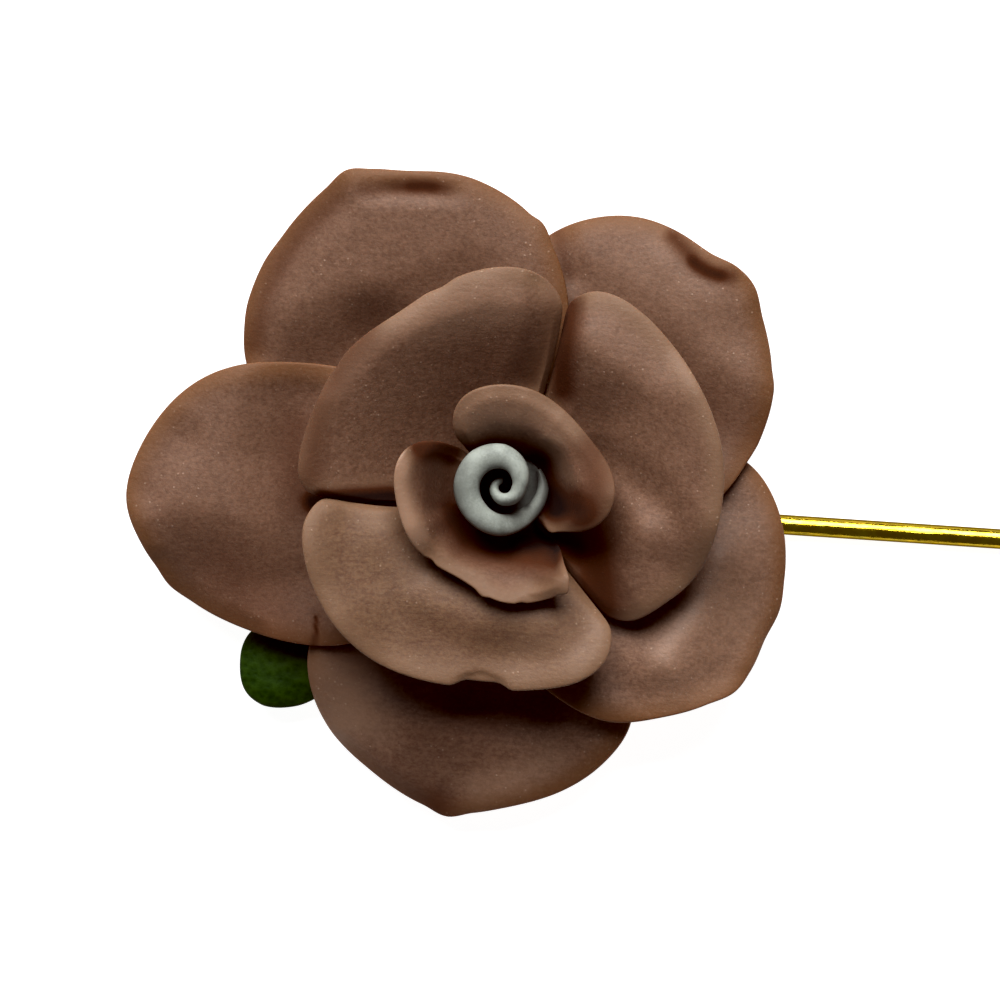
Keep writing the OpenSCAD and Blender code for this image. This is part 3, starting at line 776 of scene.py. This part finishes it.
# %% [markdown]
# The lower inner petal has a ragged lip, which a row of small nudges in and out gives. Its right
# end is cut off steeply beside the right middle petal, and its left side stands up, with painted
# light along the top as a highlight. Painted shade darkens it next to the bud and at its right
# end, which goes on to the painted near black of a shadowed gap.

# %% Lower inner petal
inner_low = soft_copy("inner_petal_2", unevenness=INNER_UNEVENNESS)
press(inner_low, [(160, 2.9), (200, 2.8), (240, 2.8), (280, 2.9), (315, 3.0)], 1.4,
      up=-1.1, painted_shade=0.4)
press(inner_low, [(230, 4.8), (255, 4.7), (290, 4.9)], 2.2, up=-0.8)
press(inner_low, [(222, 3.6), (240, 3.7), (252, 3.6)], 0.9, up=-0.2)
paint_light_and_shade(inner_low, [(215, 2.8), (240, 3.0), (263, 2.9), (290, 3.3), (306, 3.9)], 1.7, 1.1)
paint_light_and_shade(inner_low, [(318, 3.6), (314, 4.3)], 0.9, 0.8)
paint_light_and_shade(inner_low, [(327, 4.0), (322, 4.2)], 0.7, 1.5)
paint_light_and_shade(inner_low, [(270, 4.6), (300, 5.2)], 1.0, 0.12)
paint_light_and_shade(inner_low, [(159, 4.7), (153, 3.9), (147, 3.2)], 1.1, 1.25)
paint_light_and_shade(inner_low, [(172, 3.9), (190, 3.6)], 1.1, 0.35)
paint_light_and_shade(inner_low, [(322, 2.9), (308, 3.0), (290, 2.6)], 0.9, 1.2)
paint_light_and_shade(inner_low, [(165, 5.2), (180, 5.15), (196, 4.85), (212, 4.8)], 0.9, -0.95)
press(inner_low, [(327, 3.0), (320, 3.7)], 1.6, up=-2.0, core=0.3, painted_shade=0.9)
press(inner_low, [(322, 4.2), (313, 4.9)], 0.7, out=-0.3)
press(inner_low, [(306, 5.9)], 0.5, out=0.2)
press(inner_low, [(228, 5.1)], 0.5, out=-0.12)
press(inner_low, [(262, 5.3)], 0.5, out=0.14)
press(inner_low, [(283, 5.5)], 0.4, out=-0.1)
finish_petal(inner_low, "inner_petal_2", -35, rim_colour=CLAY_RIM_PAINTED_HIGHLIGHT)

# %% [markdown]
# The bud is a strip of clay that was rolled up from one end, thicker outside than in the middle,
# with its top rounded by a fingertip. Seen from above it is a spiral. A curve with a bevel could
# make a tube like that, but the strip is deep and narrow, and both its width and its height
# change along the roll. So a table gives the middle of the strip at each eighth of a turn, and the
# places between are worked out from it.

# %% Course of the rolled strip
BUD_MIDDLE = FLOWER_MIDDLE + Vector((-0.04, 0.17, 0)) * MM
Station = namedtuple("Station", "direction distance height width")
STRIP_ROLL = [
    # direction, distance from the bud's middle, height of the top, width
    (30, 1.98, 5.2, 0.24),
    (0, 2.02, 5.6, 0.62),
    (-45, 1.86, 6.6, 0.92),
    (-90, 1.92, 7.8, 1.16),
    (-135, 1.80, 8.2, 1.30),
    (-180, 1.77, 8.4, 1.36),
    (-225, 1.66, 8.5, 1.38),
    (-270, 1.46, 8.6, 1.30),
    (-315, 1.10, 8.6, 1.08),
    (-360, 0.82, 8.5, 0.80),
    (-405, 0.74, 8.4, 0.72),
    (-450, 0.62, 8.2, 0.66),
    (-495, 0.48, 7.9, 0.54),
    (-540, 0.38, 7.6, 0.46),
    (-585, 0.31, 7.3, 0.38),
    (-630, 0.28, 7.0, 0.30),
]


def strip_station(share):
    """The station at a share of the way along the table, also between two of its rows."""
    row = min(int(share), len(STRIP_ROLL) - 2)
    start, end = STRIP_ROLL[row], STRIP_ROLL[row + 1]
    return Station(*(a + (b - a) * (share - row) for a, b in zip(start, end)))


def strip_middle(station):
    """The point that the strip's top goes through at a station."""
    turn = math.radians(station.direction)
    flat = Vector((math.cos(turn), math.sin(turn), 0)) * station.distance
    return BUD_MIDDLE + (flat + Vector((0, 0, station.height))) * MM


print("strip makes", round((STRIP_ROLL[0][0] - STRIP_ROLL[-1][0]) / 360, 2), "turns")

# %% [markdown]
# The strip's cross-section starts as a circle of 12 points that stands upright across it. The
# lower half is pulled down, so the section becomes a tall tongue with a round top.

# %% End of the strip
SECTION_POINTS = 12
STRIP_DEPTH = 3.45 * MM

station = strip_station(0)
middle = strip_middle(station)
bpy.ops.object.select_all(action="DESELECT")
bpy.ops.mesh.primitive_circle_add(
    vertices=SECTION_POINTS, radius=MM / 2, fill_type="NGON", location=middle,
    rotation=(math.radians(90), 0, math.radians(station.direction)))
bud = bpy.context.object
bud.name = "clay_bud"
bpy.ops.object.transform_apply(location=True, rotation=True, scale=True)
bpy.ops.object.mode_set(mode="EDIT")
bpy.ops.mesh.select_mode(type="VERT")
bpy.ops.mesh.select_all(action="DESELECT")
bpy.ops.object.mode_set(mode="OBJECT")
for corner in bud.data.vertices:
    corner.select = corner.co.z < middle.z - MM / 100
bpy.ops.object.mode_set(mode="EDIT")
bpy.ops.transform.translate(value=(0, 0, -STRIP_DEPTH))
bpy.ops.mesh.select_all(action="SELECT")
bpy.ops.mesh.select_mode(type="FACE")
bpy.ops.transform.resize(value=(station.width, station.width, 1), center_override=middle)
print("section has", len(bud.data.vertices), "points")

# %% [markdown]
# Extrude, turn and resize the section, again and again, and the strip rolls itself up. With no
# window, Rotate turns the other way, so the angle's sign is changed, and it gets the middle to
# turn round with center_override.

# %% Rolling the strip
ROLL_STEPS = 8
STRIP_ROUNDING = 2

for number in range(1, (len(STRIP_ROLL) - 1) * ROLL_STEPS + 1):
    last, station = station, strip_station(number / ROLL_STEPS)
    last_middle, middle = middle, strip_middle(station)
    wider = station.width / last.width
    bpy.ops.mesh.extrude_region_move(TRANSFORM_OT_translate={"value": middle - last_middle})
    bpy.ops.transform.rotate(
        value=math.radians(last.direction - station.direction), orient_axis="Z",
        center_override=middle)
    bpy.ops.transform.resize(value=(wider, wider, 1), center_override=middle)
bpy.ops.mesh.select_all(action="SELECT")
bpy.ops.mesh.normals_make_consistent(inside=False)
bpy.ops.object.mode_set(mode="OBJECT")
finish_modifier(bud, "SUBSURF", levels=STRIP_ROUNDING, render_levels=STRIP_ROUNDING)
print("strip rolled to", len(bud.data.polygons), "faces")

# %% [markdown]
# The roll stands on a plug of the same clay, narrower below, which fills its middle so that no
# light comes through from the side. Painted shade darkens the strip where its loose end lies in
# the shade of the roll, in the groove beside it, and along its left side.

# %% Core of the bud
CORE_SIDES = 48
CORE_BOTTOM = 1.4 * MM
CORE_HEIGHT = 3.4 * MM
CORE_RADIUS_BELOW = 0.9 * MM
CORE_RADIUS_ABOVE = 1.98 * MM

bpy.ops.object.select_all(action="DESELECT")
bpy.ops.mesh.primitive_cone_add(
    vertices=CORE_SIDES, radius1=CORE_RADIUS_BELOW, radius2=CORE_RADIUS_ABOVE,
    depth=CORE_HEIGHT, location=BUD_MIDDLE + Vector((0, 0, CORE_BOTTOM + CORE_HEIGHT / 2)))
bud.select_set(True)
bpy.context.view_layer.objects.active = bud
bpy.ops.object.join()
bpy.ops.object.shade_smooth()
bud.data.attributes.new("painted_shading", "FLOAT", "POINT")
paint_light_and_shade(bud, [(30, 2.0), (10, 2.15), (350, 2.2), (325, 2.3)], 0.7, 0.8)
paint_light_and_shade(bud, [(25, 1.6), (0, 1.5), (330, 1.4)], 0.3, 0.8)
paint_light_and_shade(bud, [(150, 2.4), (180, 2.35), (210, 2.3)], 0.7, 0.35)
dress(bud, "bud", bud_clay())

# %% [markdown]
# Only the leaf's tip shows beside the outer petals. It needs no marks of its own: its soft copy
# is made more uneven than a petal, and its stippling is in the clay.

# %% Leaf
LEAF_UNEVENNESS = 0.08 * MM

leaf = soft_copy("leaf", unevenness=LEAF_UNEVENNESS)
dress(leaf, "leaf", leaf_clay())

# %% [markdown]
# The pin is metal, so its edges stay crisp and it isn't rounded all over. A merged copy of its
# solid is enough, since its faces are then shared, and flat ones become one. The pad was stamped
# from sheet, which leaves its rim slightly round, and a bevel gives that line of light. Only the
# rim's edges are picked, by their distance from the pad's middle. Those near the wire are left
# out, because a bevel would spike where the two meet. Shading by angle smooths the wire and keeps
# the pad's face flat.

# %% Stick pin
PAD_RADIUS = 4.0 * MM
RIM_BAND = (0.97 * PAD_RADIUS, 1.01 * PAD_RADIUS)
PAD_BEVEL = 0.15 * MM
BEVEL_STEPS = 3
WIRE_CLEARANCE = 1.0 * MM
FLAT = math.radians(1)
SMOOTH = math.radians(35)

pin = copy_solid("stick_pin", "gilt_stick_pin")
bpy.ops.object.mode_set(mode="EDIT")
bpy.ops.mesh.select_all(action="SELECT")
bpy.ops.mesh.remove_doubles(threshold=MM / 1000)
bpy.ops.mesh.dissolve_limited(angle_limit=FLAT)
bpy.ops.mesh.select_mode(type="EDGE")
bpy.ops.mesh.select_all(action="DESELECT")
bpy.ops.object.mode_set(mode="OBJECT")
for edge in pin.data.edges:
    ends = [pin.data.vertices[i].co for i in edge.vertices]
    level = abs(ends[0].z - ends[1].z) < MM / 100
    on_rim = all(RIM_BAND[0] < end.xy.length < RIM_BAND[1] for end in ends)
    by_wire = any(end.x > 0 and abs(end.y) < WIRE_CLEARANCE for end in ends)
    edge.select = level and on_rim and not by_wire
print("rim edges of the pad:", sum(edge.select for edge in pin.data.edges))
bpy.ops.object.mode_set(mode="EDIT")
bpy.ops.mesh.bevel(offset=PAD_BEVEL, segments=BEVEL_STEPS)
bpy.ops.object.mode_set(mode="OBJECT")
bpy.ops.object.shade_smooth_by_angle(angle=SMOOTH)
dress(pin, "stick_pin", gilt_metal())

# %% [markdown]
# The flower lies on a sheet of white paper that is lit from all round, so it shows almost no
# shadow. The paper gives off light of its own, which keeps it pale wherever a shadow falls. It
# lies a hair below the pad, because two faces in one place flicker.

# %% Floor
PAPER_SIZE = 6
PAPER_DROP = 0.02 * MM
PAPER_FINISH = {
    "Base Color": (0.4, 0.4, 0.4, 1),
    "Roughness": 0.9,
    "Specular IOR Level": 0.1,
    "Emission Color": (1, 1, 1, 1),
    "Emission Strength": 0.95,
}

bpy.ops.object.select_all(action="DESELECT")
bpy.ops.mesh.primitive_plane_add(size=PAPER_SIZE, location=(0, 0, -PAPER_DROP))
bpy.ops.object.transform_apply(location=True, rotation=False, scale=False)
floor = bpy.context.object
floor.name = "floor"
paper, paper_shader = new_material("pale_floor")[:2]
set_all_over(paper_shader, PAPER_FINISH)
floor.data.materials.append(paper)
print("floor is", round(floor.dimensions.x, 1), "m wide")

# %% [markdown]
# A studio shot like this has one large soft lamp above the far side of the table and white walls.
# The lamp gives each petal its slope of light and a soft shadow on the next. The walls are a dim
# white world. A second lamp would fill the hollows, and they have to stay dark. The view is a
# little brighter in the mid tones than Blender's, which its gamma does, and the darkest shades
# lean to red, because light that gets there has bounced off clay. The black level does that.

# %% Light
LAMP_PLACE = Vector((-0.07, 0.38, 0.41))
LAMP_WIDTH, LAMP_DEPTH = 0.46, 0.40
LAMP_WATTS = 7.3
WALL_STRENGTH = 0.09
VIEW_GAMMA = 0.85
DARKEST_SHADE = (0, 0.0075, 0.0075)

lamp = bpy.data.objects.new("key", bpy.data.lights.new("key", "AREA"))
bpy.context.scene.collection.objects.link(lamp)
lamp.location = LAMP_PLACE
lamp.rotation_euler = (-LAMP_PLACE).to_track_quat("-Z", "Y").to_euler()
lamp.data.shape = "RECTANGLE"
lamp.data.size, lamp.data.size_y = LAMP_WIDTH, LAMP_DEPTH
lamp.data.energy = LAMP_WATTS

room = bpy.data.worlds.new("room")
bpy.context.scene.world = room
room.use_nodes = True
walls = room.node_tree.nodes["Background"].inputs
walls["Color"].default_value = (1, 1, 1, 1)
walls["Strength"].default_value = WALL_STRENGTH

view = bpy.context.scene.view_settings
view.view_transform = "Standard"
view.gamma = VIEW_GAMMA
view.use_curve_mapping = True
view.curve_mapping.black_level = DARKEST_SHADE
view.curve_mapping.update()
print("light ready")
